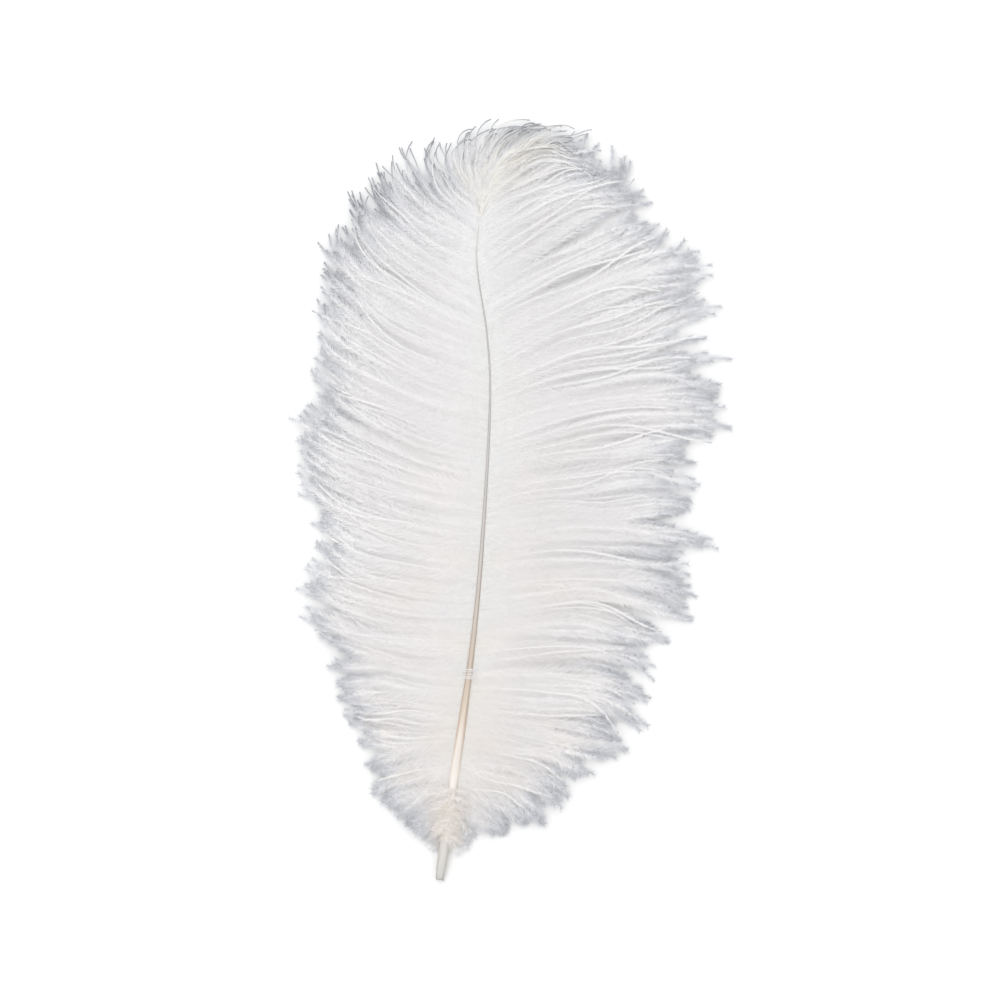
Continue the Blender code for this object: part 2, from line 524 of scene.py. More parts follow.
def smooth_line(points, step):
    """Points a step apart along the smooth curve through the route's points."""
    ends = [points[0] * 2 - points[1]] + points + [points[-1] * 2 - points[-2]]
    line = [points[0]]
    for before, low, high, after in zip(ends, ends[1:], ends[2:], ends[3:]):
        count = max(2, round((high - low).length / step))
        for index in range(1, count + 1):
            share = index / count
            line.append(
                0.5
                * (
                    2 * low
                    + (high - before) * share
                    + (2 * before - 5 * low + 4 * high - after) * share**2
                    + (3 * low - before - 3 * high + after) * share**3
                )
            )
    return line


def shaft_line():
    """The shaft's middle line: pairs of the distance from the quill tip and the point there."""
    tip = Vector((*QUILL_TIP, 0.0))
    points = smooth_line([tip + Vector(place) for place in SHAFT_ROUTE], ROUTE_STEP)
    line = [(0.0, points[0])]
    for low, high in zip(points, points[1:]):
        line.append((line[-1][0] + (high - low).length, high))
    return line


# -------------- barbs

Side = namedtuple("Side", "barbs curls fades bares comb looseness lays")
Tuft = namedtuple("Tuft", "middle half_width gather turn reach waves phase")
Lay = namedtuple("Lay", "turn wave lift stretch")


def lock_lays():
    """How the locks of each side lie: the distance of each, and its turn, wave, lift and stretch."""
    chance = random.Random(LOCK_SEED)
    lays = {}
    for side in ("left", "right"):
        lays[side] = []
        for number in range(LOCKS_A_SIDE):
            distance = within((FIRST_LOCK, LAST_LOCK), number / (LOCKS_A_SIDE - 1))
            turn = chance.uniform(-TURN_SPREAD, TURN_SPREAD)
            wave = chance.uniform(-WAVE_SPREAD, WAVE_SPREAD)
            lift = chance.uniform(0.0, TIP_LIFT)
            stretch = 1 + chance.uniform(-LENGTH_SPREAD, LENGTH_SPREAD)
            lays[side].append((distance, turn, wave, lift, stretch))
    return lays


def lay_at(lays, distance):
    """How a barb at a distance lies, between its two nearest locks."""
    return Lay(*(between(lays, distance, column) for column in range(1, 5)))


def walked(start, headings, lengths):
    """The places on the way from a start, by the heading in radians and the length of each step."""
    steps = np.stack([np.sin(headings), np.cos(headings)], axis=1) * lengths
    return np.array(start) + np.vstack([[0.0, 0.0], np.cumsum(steps, axis=0)])


def flat_path(line, barbs, distance, shares, lay, curl):
    """A barb's path over the surface, from the shaft outwards: its points, its headings and its length."""
    start = between(barbs, distance, 1) + lay.turn
    end = between(barbs, distance, 2) + lay.turn
    length = between(barbs, distance, 3) * lay.stretch

    def heading_at(share):
        bend = curl * np.clip((share - CURL_FROM) / (1 - CURL_FROM), 0.0, MOST_CURLED) ** CURL_GROWTH
        return np.radians(start + (end - start) * share + lay.wave * np.sin(math.tau * share) + bend)

    middles = heading_at((shares[1:] + shares[:-1]) / 2)
    root = between(line, distance)
    path = walked((root.x, root.y), middles, np.diff(shares)[:, None] * length)
    return path, heading_at(shares), length


def fold_heights(chance):
    """Heights up the shaft that make the vane rise and sink in long soft folds: distances and values."""
    count = round((LAST_BARB - FIRST_BARB) / FOLD_STEP) + 2
    places = [index + chance.uniform(-FOLD_SHIFT, FOLD_SHIFT) for index in range(count)]
    return [FIRST_BARB + FOLD_STEP * place for place in places], [chance.random() for _ in range(count)]


def barb_reach(side, distance, tuft, stray, chance):
    """How far a barb reaches, as a share of the length of the lock there."""
    place = (distance - tuft.middle) / tuft.half_width
    reach = tuft.reach * chance.uniform(*BARB_REACH) - EDGE_SHORTENING * place**2
    wire = between(side.bares, distance)
    if chance.random() < SHORT_SHARE:
        wire_share = wire / between(side.barbs, distance, 3)
        reach -= min(wire_share, MOST_SHORTENED) * chance.uniform(*SHORTENINGS)
    if stray and wire < SHORTEST_WIRE:
        reach *= STRAY_REACH
    return reach


def gathered_path(line, side, distance, tuft, shares, under, chance):
    """A barb's path, drawn towards the middle of its tuft, with its headings and its length."""
    curl = between(side.curls, distance, 2 if under else 1)
    curl += between(side.curls, distance, 3) * chance.uniform(-1.0, 1.0)
    longer = between(side.comb, distance)
    lay = lay_at(side.lays, distance)
    turn = tuft.turn * OWN_TUFT_TURN + between(TURNS, distance) * chance.uniform(-1.0, 1.0)
    own = lay._replace(turn=lay.turn + turn, stretch=lay.stretch * longer)
    lay = lay_at(side.lays, tuft.middle)
    shared = lay._replace(turn=lay.turn + tuft.turn, stretch=lay.stretch * longer)
    path, headings, length = flat_path(line, side.barbs, distance, shares, own, curl)
    usual, _, _ = flat_path(line, side.barbs, tuft.middle, shares, shared, curl)
    if under:
        drawn = between(UNDER_GATHERS, distance) * ease(shares, UNDER_GATHER_FROM)
    else:
        drawn = side.looseness * tuft.gather * ease(shares, GATHER_FROM)
    drawn = (drawn + TIP_GATHER * ease(shares, TIP_GATHER_FROM)) * between(side.comb, distance, 2)
    return path + (usual - path) * drawn[:, None], headings, length


def swayed(path, headings, length, side, tuft, shares, under, stray, chance):
    """The path with the sway and the drift of the barb, and the sway of its tuft, across it."""
    across = np.stack([np.cos(headings), -np.sin(headings)], axis=1)
    waves = chance.uniform(*SWAY_WAVES) * shares + chance.random()
    sway = SWAY * shares**SWAY_GROWTH * np.sin(math.tau * waves)
    most = STRAY_DRIFT if stray else side.looseness * DRIFT
    drift = chance.uniform(-most, most) * length * ease(shares, DRIFT_FROM) ** DRIFT_GROWTH
    together = side.looseness * TUFT_SWAY * ease(shares, 0.0, TUFT_SWAY_BY)
    together = together * np.sin(math.tau * (tuft.waves * shares + tuft.phase))
    return path + across * (sway + drift + (UNDER_SWAY if under else 1.0) * together)[:, None]


def barb_heights(line, side, distance, tuft, folds, shares, under, stray, chance):
    """A barb's heights over the surface: it droops, lies at its own depth in the folds, and lifts its tip."""
    droop = (between(line, distance).z - ROOT_DROP) * (1 - ease(shares, 0.0, LANDING))
    settle = lay_at(side.lays, tuft.middle).lift * ease(shares, FLAT_UNTIL)
    depth = chance.uniform(*(UNDER_DEPTHS if under else TOP_DEPTHS))
    layered = ease(shares, 0.0, LAYERED_BY)
    thickness = np.interp(shares, *zip(*BARB_HEIGHTS)) * (1 - (1 - depth) * layered)
    swell = layered * (1 - ease(shares, *FOLD_FALL))
    fold = side.looseness * FOLD_RISE * np.interp(distance + FOLD_LAG * shares, *folds) * swell
    tip = chance.uniform(0.0, TIP_RISE) * shares**TIP_RISE_GROWTH
    over = side.looseness * STRAY_RISE * layered if stray else 0.0
    return np.maximum(droop + settle + thickness + fold + tip + over, LOWEST_BARB)


def place_on_ramp(left_to_tip, whole, fade, turned):
    """A barb's places on the ramp of its greys: below GREY_FROM until it fades, and past it from there on."""
    inner = GREY_FROM * np.clip(1 - (left_to_tip - fade) / max(whole - fade, LEAST_UNFADED), 0.0, 1.0)
    outer = (1 - GREY_FROM) * turned * np.clip(1 - left_to_tip / fade, 0.0, 1.0)
    return np.where(left_to_tip > fade, inner, GREY_FROM + outer)


def one_barb(line, side, distance, tuft, folds, chance):
    """One barb: its points and what its barbules need to know."""
    under = chance.random() < UNDER_SHARE
    stray = chance.random() < STRAY_SHARE
    reach = barb_reach(side, distance, tuft, stray, chance)
    shares = np.linspace(0.0, reach, BARB_POINTS)
    path, headings, length = gathered_path(line, side, distance, tuft, shares, under, chance)
    path = swayed(path, headings, length, side, tuft, shares, under, stray, chance)
    heights = barb_heights(line, side, distance, tuft, folds, shares, under, stray, chance)

    whole = reach * length
    travelled = shares / reach
    left_to_tip = (1 - travelled) * whole
    fade = between(side.fades, distance, 2 if under else 1)
    fade *= chance.uniform(*(STRAY_FADE_SPREAD if stray else FADE_SPREAD))
    wire = between(side.bares, distance)
    bare = ease(BARE_BLEND - left_to_tip / wire) if wire > 0 else np.zeros(BARB_POINTS)
    fluff = BARBULE_LENGTH * between(FLUFF_UPWARD, distance) * np.interp(travelled, *zip(*FLUFF_OUTWARD))
    thick = within((ROOT_RADIUS, TIP_RADIUS), travelled)
    if stray:
        fluff = fluff * (1 - (1 - STRAY_FLUFF) * ease(shares, *STRAY_FLUFF_FALL))
        thick = thick * STRAY_THICKENING
    roll = chance.uniform(-ROOT_ROLL, ROOT_ROLL)
    return {
        "points": np.column_stack([path, heights]),
        "along": place_on_ramp(left_to_tip, whole, fade, between(side.fades, distance, 3)),
        "upward": np.full(BARB_POINTS, distance / line[-1][0]),
        "fluff": fluff * (1 - (1 - between(side.bares, distance, 2)) * bare),
        "broad": within((BARBULE_WIDTH, TIP_BARBULE_WIDTH), ease(travelled, *BARBULE_BROADENING)),
        "density": np.interp(travelled, *zip(*DENSITY_OUTWARD)),
        "thick": thick + (between(side.bares, distance, 3) - thick) * bare,
        "roll": roll + chance.uniform(-TIP_ROLL, TIP_ROLL) * travelled,
    }


def side_barbs(line, side, chance):
    """Every barb of a side, from the quill up: pairs of its distance and itself."""
    folds = fold_heights(chance)
    spacing = (LAST_BARB - FIRST_BARB) / BARBS_A_SIDE
    barbs = []
    number = 0
    while number < BARBS_A_SIDE:
        count = min(chance.randint(*BARBS_A_TUFT), BARBS_A_SIDE - number)
        half_width = spacing * count / 2
        tuft = Tuft(
            middle=FIRST_BARB + spacing * number + half_width,
            half_width=half_width,
            gather=chance.uniform(*TUFT_GATHERS),
            turn=chance.uniform(-TUFT_TURN, TUFT_TURN),
            reach=chance.uniform(*TUFT_REACH),
            waves=chance.uniform(*TUFT_WAVES),
            phase=chance.random(),
        )
        for index in range(count):
            distance = FIRST_BARB + spacing * (number + index + chance.uniform(*BARB_PLACES))
            if chance.random() <= between(FULLNESS, distance):
                barbs.append((distance, one_barb(line, side, distance, tuft, folds, chance)))
        number += count
    return barbs


def loose_barb(path, heights, along, upward, fluff, density, thick, roll):
    """A barb that belongs to no lock. A value that is a single number holds all along it."""
    values = {
        "along": along,
        "upward": upward,
        "fluff": fluff,
        "broad": BARBULE_WIDTH,
        "density": density,
        "thick": thick,
        "roll": roll,
    }
    barb = {name: np.broadcast_to(value, BARB_POINTS) for name, value in values.items()}
    return {"points": np.column_stack([path, heights]), **barb}


def swelling(fluff, shares):
    """Barbules that are short at both ends of a barb, from the greatest length, the start and the stretch."""
    most, start, stretch = fluff
    return most * np.sin(math.pi * (start + stretch * shares))


def down_barb(line, chance):
    """A short downy barb that lies over the quill below the vanes, and hangs down beside it."""
    rise = chance.random() ** DOWN_CROWDING
    distance = within(DOWN_STRETCH, rise)
    side = chance.choice((-1, 1))
    shortening = chance.uniform(*DOWN_SHORTENINGS) * within((LOWEST_DOWN, 1.0), rise)
    length = within(DOWN_LENGTH, shortening)
    shares = np.linspace(0.0, 1.0, BARB_POINTS)
    start = side * chance.uniform(*DOWN_STARTS)
    end = side * chance.uniform(*DOWN_ENDS)
    headings = np.radians(within((start, end), shares))
    root = between(line, distance)
    first = (root.x - side * chance.uniform(*DOWN_ROOTS), root.y)
    path = walked(first, (headings[1:] + headings[:-1]) / 2, length / (BARB_POINTS - 1))
    top = root.z + between(SHAFT_RADII, distance) + chance.uniform(*DOWN_TOPS)
    low = chance.uniform(*DOWN_LOWS)
    return loose_barb(
        path,
        within((low, top), 1 - ease(shares, *DOWN_FALL)),
        along=DOWN_WHITE * shares + DOWN_GREY * ease(shares, DOWN_WHITE),
        upward=distance / line[-1][0],
        fluff=BARBULE_LENGTH * np.interp(shares, *zip(*DOWN_FLUFF)),
        density=DOWN_DENSITY,
        thick=within((ROOT_RADIUS, TIP_RADIUS), shares),
        roll=chance.uniform(-DOWN_ROLL, DOWN_ROLL) + chance.uniform(-DOWN_ROLL, DOWN_ROLL) * shares,
    )


def crossing_barb(line, number, chance):
    """A short pale barb that lies across the shaft, from its left side to its right."""
    distance = within(CROSSING_STRETCH, (number + chance.uniform(*CROSSING_PLACES)) / CROSSING_BARBS)
    length = chance.uniform(*CROSSING_LENGTH)
    shares = np.linspace(0.0, 1.0, BARB_POINTS)
    heading = math.radians(chance.uniform(*CROSSING_HEADINGS))
    root = between(line, distance)
    over = shares * length - chance.uniform(*CROSSING_STARTS)
    path = np.array([root.x, root.y]) + over[:, None] * np.array([math.sin(heading), math.cos(heading)])
    top = root.z + between(SHAFT_RADII, distance) + chance.uniform(*CROSSING_RISE)
    return loose_barb(
        path,
        top - CROSSING_DROP * (1 - np.exp(-((over / CROSSING_DROP_REACH) ** 2))),
        along=CROSSING_TINT[0] + CROSSING_TINT[1] * shares,
        upward=CROSSING_HUE,
        fluff=swelling(CROSSING_FLUFF, shares),
        density=CROSSING_DENSITY,
        thick=ROOT_RADIUS,
        roll=chance.uniform(-CROSSING_ROLL, CROSSING_ROLL),
    )


def cover_barb(line, number, chance):
    """A soft creamy barb that lies over the shaft where the crest begins, and bends on to the right."""
    distance = chance.uniform(*COVER_STRETCH)
    share = (number + chance.random()) / COVER_BARBS
    length = within(COVER_LENGTH, chance.random())
    shares = np.linspace(0.0, 1.0, BARB_POINTS)
    bend = COVER_BEND * shares**COVER_BEND_GROWTH * within((LEAST_COVER_BEND, 1.0), share)
    headings = np.radians(within(COVER_TURNS, share) + bend + chance.uniform(-COVER_STRAY, COVER_STRAY))
    root = between(line, distance)
    path = walked((root.x, root.y), (headings[1:] + headings[:-1]) / 2, length / (BARB_POINTS - 1))

    # over the shaft, and down to the vane beside it
    middle_line = np.array([point for _, point in line])
    gaps = np.linalg.norm(path[:, None, :] - middle_line[None, :, :2], axis=2)
    rise = COVER_RISE * chance.uniform(*COVER_RISES)
    heights = middle_line[gaps.argmin(axis=1), 2] + rise - COVER_FALL * gaps.min(axis=1) ** 2
    return loose_barb(
        path,
        np.maximum(heights, LOWEST_COVER),
        along=COVER_TINT[0] + COVER_TINT[1] * shares,
        upward=COVER_HUE,
        fluff=swelling(COVER_FLUFF, shares),
        density=COVER_DENSITY,
        thick=TIP_RADIUS,
        roll=chance.uniform(-COVER_ROLL, COVER_ROLL),
    )


def all_barbs(line):
    """Every barb of the plume, by its part: pairs of the distance that puts it in a piece, and itself."""
    lays = lock_lays()
    left = (LEFT_BARBS, LEFT_CURLS, LEFT_FADES, LEFT_BARE, LEFT_COMB, LEFT_LOOSENESS)
    right = (RIGHT_BARBS, RIGHT_CURLS, RIGHT_FADES, RIGHT_BARE, RIGHT_COMB, RIGHT_LOOSENESS)
    chance = random.Random(BARB_SEED)
    barbs = {}
    for side, ways in (("left", left), ("right", right)):
        barbs[side] = side_barbs(line, Side(*ways, lays[side]), chance)
    barbs["down"] = [(0.0, down_barb(line, chance)) for _ in range(DOWN_BARBS)]
    barbs["down"] += [(0.0, crossing_barb(line, number, chance)) for number in range(CROSSING_BARBS)]
    barbs["left"] += [(COVER_STRETCH[0], cover_barb(line, number, chance)) for number in range(COVER_BARBS)]
    return barbs


def barb_guides(name, barbs):
    """Some barbs as an object of plain edges, with the values that their barbules read."""
    points = np.concatenate([barb["points"] for barb in barbs])
    firsts = np.arange(len(points)).reshape(len(barbs), BARB_POINTS)
    edges = np.stack([firsts[:, :-1].ravel(), firsts[:, 1:].ravel()], axis=1)
    mesh = bpy.data.meshes.new(name)
    mesh.from_pydata(points.tolist(), edges.tolist(), [])
    for value in GUIDE_VALUES:
        attribute = mesh.attributes.new(value, "FLOAT", "POINT")
        values = np.concatenate([barb[value] for barb in barbs])
        attribute.data.foreach_set("value", values.astype(np.float32))
    guides = bpy.data.objects.new(name, mesh)
    bpy.context.scene.collection.objects.link(guides)
    return guides


# -------------- barbules, by geometry nodes


def barbule_blade(material):
    """One barbule of unit length and width along +X, which tapers to a point."""
    corners = [(0, 0.5, 0), (0, -0.5, 0), (1, 0, 0)]
    mesh = bpy.data.meshes.new("barbule_blade")
    mesh.from_pydata(corners, [], [(0, 1, 2)])
    mesh.materials.append(material)
    patch = mesh.attributes.new("patch", "FLOAT_VECTOR", "POINT")
    for index, (x, y, _) in enumerate(corners):
        patch.data[index].vector = (x * BARBULE_PATCH[0], y * BARBULE_PATCH[1], 0.0)
    blade = bpy.data.objects.new("barbule_blade", mesh)
    bpy.context.scene.collection.objects.link(blade)
    return blade


class Nodes:
    """A node tree that is built by adding nodes and linking what they give."""

    def __init__(self, tree):
        self.tree = tree

    def add(self, kind, inputs=(), output=0, **settings):
        """Adds a node, sets or links its inputs by name or number, and returns one of its outputs."""
        node = self.tree.nodes.new(kind)
        for setting, value in settings.items():
            setattr(node, setting, value)
        for key, value in dict(inputs).items():
            if isinstance(value, bpy.types.NodeSocket):
                self.tree.links.new(value, node.inputs[key])
            else:
                node.inputs[key].default_value = value
        return node.outputs[output]

    def math(self, operation, *values):
        return self.add("ShaderNodeMath", enumerate(values), operation=operation)

    def vector(self, operation, *values):
        return self.add("ShaderNodeVectorMath", enumerate(values), operation=operation)

    def scaled(self, vector, factor):
        return self.add("ShaderNodeVectorMath", {0: vector, "Scale": factor}, operation="SCALE")

    def axes(self, vector):
        """The X, Y and Z of a vector."""
        node = self.tree.nodes.new("ShaderNodeSeparateXYZ")
        self.tree.links.new(vector, node.inputs[0])
        return node.outputs


class Growth(Nodes):
    """A geometry node tree with named inputs."""

    def __init__(self, name, inputs):
        super().__init__(bpy.data.node_groups.new(name, "GeometryNodeTree"))
        self.tree.interface.new_socket("Geometry", in_out="INPUT", socket_type="NodeSocketGeometry")
        for label, kind in inputs:
            self.tree.interface.new_socket(label, in_out="INPUT", socket_type=kind)
        self.tree.interface.new_socket("Geometry", in_out="OUTPUT", socket_type="NodeSocketGeometry")
        self.given = self.tree.nodes.new("NodeGroupInput")

    def read(self, name, kind="FLOAT"):
        """The value of the attribute with this name."""
        return self.add("GeometryNodeInputNamedAttribute", {"Name": name}, data_type=kind)

    def chance(self, low, high, seed):
        """A random value for each point, between two values."""
        sockets = {2: low, 3: high, "Seed": seed}
        return self.add("FunctionNodeRandomValue", sockets, 1, data_type="FLOAT")

    def joined(self, *parts):
        """The parts as one geometry."""
        join = self.tree.nodes.new("GeometryNodeJoinGeometry")
        for part in parts:
            self.tree.links.new(part, join.inputs[0])
        return join.outputs[0]

    def finish(self, geometry):
        output = self.tree.nodes.new("NodeGroupOutput")
        self.tree.links.new(geometry, output.inputs[0])
        return self.tree


def barbule_row(t, spaced, number, sign):
    """A barbule at each point along the barbs, on the side of them that the sign gives."""
    given = t.given.outputs
    along = spaced.outputs["Tangent"]
    aside = spaced.outputs["Normal"]
    up = t.vector("CROSS_PRODUCT", aside, along)
    seeds = [t.math("ADD", given["Seed"], float(ROW_SEEDS * number + step)) for step in range(5)]
    angle = t.chance(given["Least angle"], given["Greatest angle"], seeds[0])
    rise = t.chance(t.math("MULTIPLY", given["Lift"], -1.0), given["Lift"], seeds[1])
    ahead = t.scaled(along, t.math("COSINE", angle))
    outward = t.scaled(aside, t.math("MULTIPLY", t.math("SINE", angle), sign))
    way = t.vector("ADD", t.vector("ADD", ahead, outward), t.scaled(up, rise))
    spin = t.math("MULTIPLY", t.chance(-1.0, 1.0, seeds[2]), given["Spin"])
    face = t.vector("ADD", up, t.scaled(aside, spin))
    axes = {"Primary Axis": way, "Secondary Axis": face}
    turned = t.add("FunctionNodeAxesToRotation", axes, primary_axis="X", secondary_axis="Z")
    long = t.math("MULTIPLY", t.read("fluff"), t.chance(*BARBULE_LENGTHS, seeds[3]))
    size = t.add("ShaderNodeCombineXYZ", {0: long, 1: t.read("broad"), 2: long})
    blade = t.add("GeometryNodeObjectInfo", {"Object": given["Barbule"]}, "Geometry")
    there = t.math("LESS_THAN", t.chance(0.0, 1.0, seeds[4]), t.read("density"))
    roots = spaced.outputs["Points"]
    sockets = {"Points": roots, "Selection": there, "Instance": blade, "Rotation": turned, "Scale": size}
    return t.add("GeometryNodeInstanceOnPoints", sockets)


def kept_above(t, geometry):
    """The geometry with all that would go through the surface lifted to a thin pile on it."""
    x, y, z = t.axes(t.add("GeometryNodeInputPosition"))
    film = t.chance(FLOOR_FILM, FLOOR_PILE, t.given.outputs["Seed"])
    kept = t.add("ShaderNodeCombineXYZ", {0: x, 1: y, 2: t.math("MAXIMUM", z, film)})
    return t.add("GeometryNodeSetPosition", {"Geometry": geometry, "Position": kept})


def mapped(t, geometry):
    """The geometry with its map: along a barb across it, and along the shaft up it."""
    spot = t.add("ShaderNodeCombineXYZ", {0: t.read("along"), 1: t.read("upward"), 2: 0.0})
    spread = t.vector("ADD", t.scaled(spot, UV_REACH), t.read("patch", "FLOAT_VECTOR"))
    sockets = {"Geometry": geometry, "Name": UV_MAP, "Value": spread}
    return t.add("GeometryNodeStoreNamedAttribute", sockets, data_type="FLOAT2", domain="CORNER")


def barb_tree():
    """Makes each guide a thin three-sided barb, and sets a barbule on each side of it at every spacing."""
    sizes = ("Barbule spacing", "Least angle", "Greatest angle", "Lift", "Spin")
    inputs = [(size, "NodeSocketFloat") for size in sizes]
    inputs += [("Seed", "NodeSocketInt"), ("Barbule", "NodeSocketObject")]
    inputs += [("Barb material", "NodeSocketMaterial"), ("Barbule material", "NodeSocketMaterial")]
    t = Growth("grow_barbs", inputs)
    given = t.given.outputs
    curves = t.add("GeometryNodeMeshToCurve", {"Mesh": given["Geometry"]})
    curves = t.add("GeometryNodeSetCurveNormal", {"Curve": curves}, mode="Z_UP")
    curves = t.add("GeometryNodeSetCurveTilt", {"Curve": curves, "Tilt": t.read("roll")})

    profile = t.add("GeometryNodeCurvePrimitiveCircle", {"Resolution": 3, "Radius": 1.0}, mode="RADIUS")
    sockets = {"Curve": curves, "Profile Curve": profile, "Scale": t.read("thick"), "Fill Caps": True}
    tubes = t.add("GeometryNodeCurveToMesh", sockets)
    tubes = t.add("GeometryNodeSetMaterial", {"Geometry": tubes, "Material": given["Barb material"]})

    spaced = t.tree.nodes.new("GeometryNodeCurveToPoints")
    spaced.mode = "LENGTH"
    t.tree.links.new(curves, spaced.inputs["Curve"])
    t.tree.links.new(given["Barbule spacing"], spaced.inputs["Length"])
    rows = [barbule_row(t, spaced, number, sign) for number, sign in enumerate((1.0, -1.0))]
    barbules = t.add("GeometryNodeRealizeInstances", {"Geometry": t.joined(*rows)})
    barbules = t.add("GeometryNodeSetMaterial", {"Geometry": barbules, "Material": given["Barbule material"]})
    return t.finish(mapped(t, kept_above(t, t.joined(barbules, tubes))))


def grown(name, guides, tree, values):
    """The plain mesh object that the tree makes of the guides."""
    growth = guides.modifiers.new("growth", "NODES")
    growth.node_group = tree
    for item in tree.interface.items_tree:
        if item.in_out == "INPUT" and item.name in values:
            growth[item.identifier] = values[item.name]
    bpy.context.view_layer.update()
    seen = guides.evaluated_get(bpy.context.evaluated_depsgraph_get())
    mesh = bpy.data.meshes.new_from_object(seen)
    bpy.data.objects.remove(guides)
    for value in (*GUIDE_VALUES, "patch"):
        if value in mesh.attributes:
            mesh.attributes.remove(mesh.attributes[value])
    piece = bpy.data.objects.new(name, mesh)
    bpy.context.scene.collection.objects.link(piece)
    return piece


# -------------- materials


class Look(Nodes):
    """A material whose colour is read from the map: along a barb or round the shaft, and up the plume."""

    def __init__(self, name, roughness, gloss):
        self.material = bpy.data.materials.new(name)
        self.material.use_nodes = True
        super().__init__(self.material.node_tree)
        self.shader = self.tree.nodes["Principled BSDF"]
        self.shader.inputs["Roughness"].default_value = roughness
        self.shader.inputs["Specular IOR Level"].default_value = gloss

    def map_axes(self):
        """The place on the map, across it and up it."""
        across, up, _ = self.axes(self.add("ShaderNodeUVMap", uv_map=UV_MAP))
        return across, up

    def ramp(self, value, stops):
        """A colour or a grey value that changes between the stops."""
        node = self.tree.nodes.new("ShaderNodeValToRGB")
        elements = node.color_ramp.elements
        while len(elements) < len(stops):
            elements.new(0.5)
        for element, (place, shade) in zip(elements, stops):
            element.position = place
            element.color = (*shade, 1.0) if isinstance(shade, tuple) else (shade, shade, shade, 1.0)
        self.tree.links.new(value, node.inputs["Fac"])
        return node.outputs["Color"]

    def noise(self, x, y, scale_x, scale_y, detail):
        """Noise from 0 to 1 over the map, with its own scale each way."""
        across = self.math("MULTIPLY", x, scale_x)
        up = self.math("MULTIPLY", y, scale_y)
        spot = self.add("ShaderNodeCombineXYZ", {0: across, 1: up})
        return self.add("ShaderNodeTexNoise", {"Vector": spot, "Scale": 1.0, "Detail": detail})

    def mixed(self, share, low, high, blend="MIX"):
        """Two colours blended, with this share of the second."""
        inputs = {0: share, 6: low, 7: high}
        return self.add("ShaderNodeMix", inputs, 2, data_type="RGBA", blend_type=blend)

    def finish(self, colour):
        self.tree.links.new(colour, self.shader.inputs["Base Color"])
        return self.material


def barb_look(name, greys):
    """White horn fibre, with grey thin tips, creamy places and painted shade in the hollows between the
    barbs, read along and across the barbs.
    """
    look = Look(name, *FIBRE_FINISH)
    along, upward = look.map_axes()
    streaks = look.ramp(look.noise(along, upward, *STREAKS), STREAK_GREYS)
    fibre = look.mixed(1.0, look.ramp(along, greys), streaks, "MULTIPLY")

    # Painted shade: grey patches from noise, more of them out towards the tips, where the hollows between the
    # barbs would be in shadow.
    painted_shade_mask = look.ramp(look.noise(along, upward, *PAINTED_SHADE_NOISE), PAINTED_SHADE_SHARES)
    painted_shade_share = look.math("MULTIPLY", painted_shade_mask, look.ramp(along, PAINTED_SHADE_OUTWARD))
    fibre = look.mixed(painted_shade_share, fibre, look.mixed(1.0, fibre, PAINTED_SHADE, "MULTIPLY"))

    creamy = look.math("MULTIPLY", look.ramp(upward, CREAM_UPWARD), look.ramp(along, CREAM_OUTWARD))
    patches = look.ramp(look.noise(along, upward, *PATCHES), PATCH_SHARES)
    cream = look.mixed(1.0, fibre, look.ramp(upward, CREAM_HUES), "MULTIPLY")
    return look.finish(look.mixed(look.math("MULTIPLY", creamy, patches), fibre, cream))


def shaft_look():
    """Pale horn with a fine line of painted shade down each side, where the barbs meet it, and paler still in
    the quill and at the crest.
    """
    look = Look("shaft_horn", *HORN_FINISH)
    around, upward = look.map_axes()
    # Painted shade: the sides and underside of the shaft take a darker horn colour than its top.
    side_shade = look.ramp(around, SIDE_SHADE_AROUND)
    horn = look.mixed(side_shade, look.ramp(upward, HORN_MIDDLE), look.ramp(upward, HORN_WITH_SIDE_SHADE))
    grain = look.ramp(look.noise(around, upward, *GRAIN), GRAIN_GREYS)
    return look.finish(look.mixed(1.0, horn, grain, "MULTIPLY"))


# -------------- shaft


def shaft_rings(shape, line):
    """The corners of the rings round the shaft, from the quill tip up."""
    length = line[-1][0]
    rings = []
    for index in range(SHAFT_RINGS):
        distance = length * index / (SHAFT_RINGS - 1)
        middle = between(line, distance)
        ahead = between(line, min(length, distance + ROUTE_STEP))
        behind = between(line, max(0.0, distance - ROUTE_STEP))
        way = (ahead - behind).normalized()
        across = way.cross(Vector((0, 0, 1))).normalized()
        up = across.cross(way)
        radius = between(SHAFT_RADII, distance)
        ring = []
        for side in range(SHAFT_SIDES):
            turn = math.tau * side / SHAFT_SIDES
            corner = middle + across * radius * math.cos(turn) + up * radius * math.sin(turn)
            ring.append(shape.verts.new(corner))
        rings.append(ring)
    return rings


def split_end(line, ring):
    """Moves the corners of the lowest ring out and back, to where the end of the quill has split."""
    chance = random.Random(FRAY_SEED)
    tip = line[0][1]
    back = (tip - between(line, ROUTE_STEP)).normalized()
    for corner in ring:
        flare = chance.uniform(1.0, FRAY_FLARE)
        corner.co = tip + (corner.co - tip) * flare + back * chance.uniform(0.0, FRAY_LENGTH)


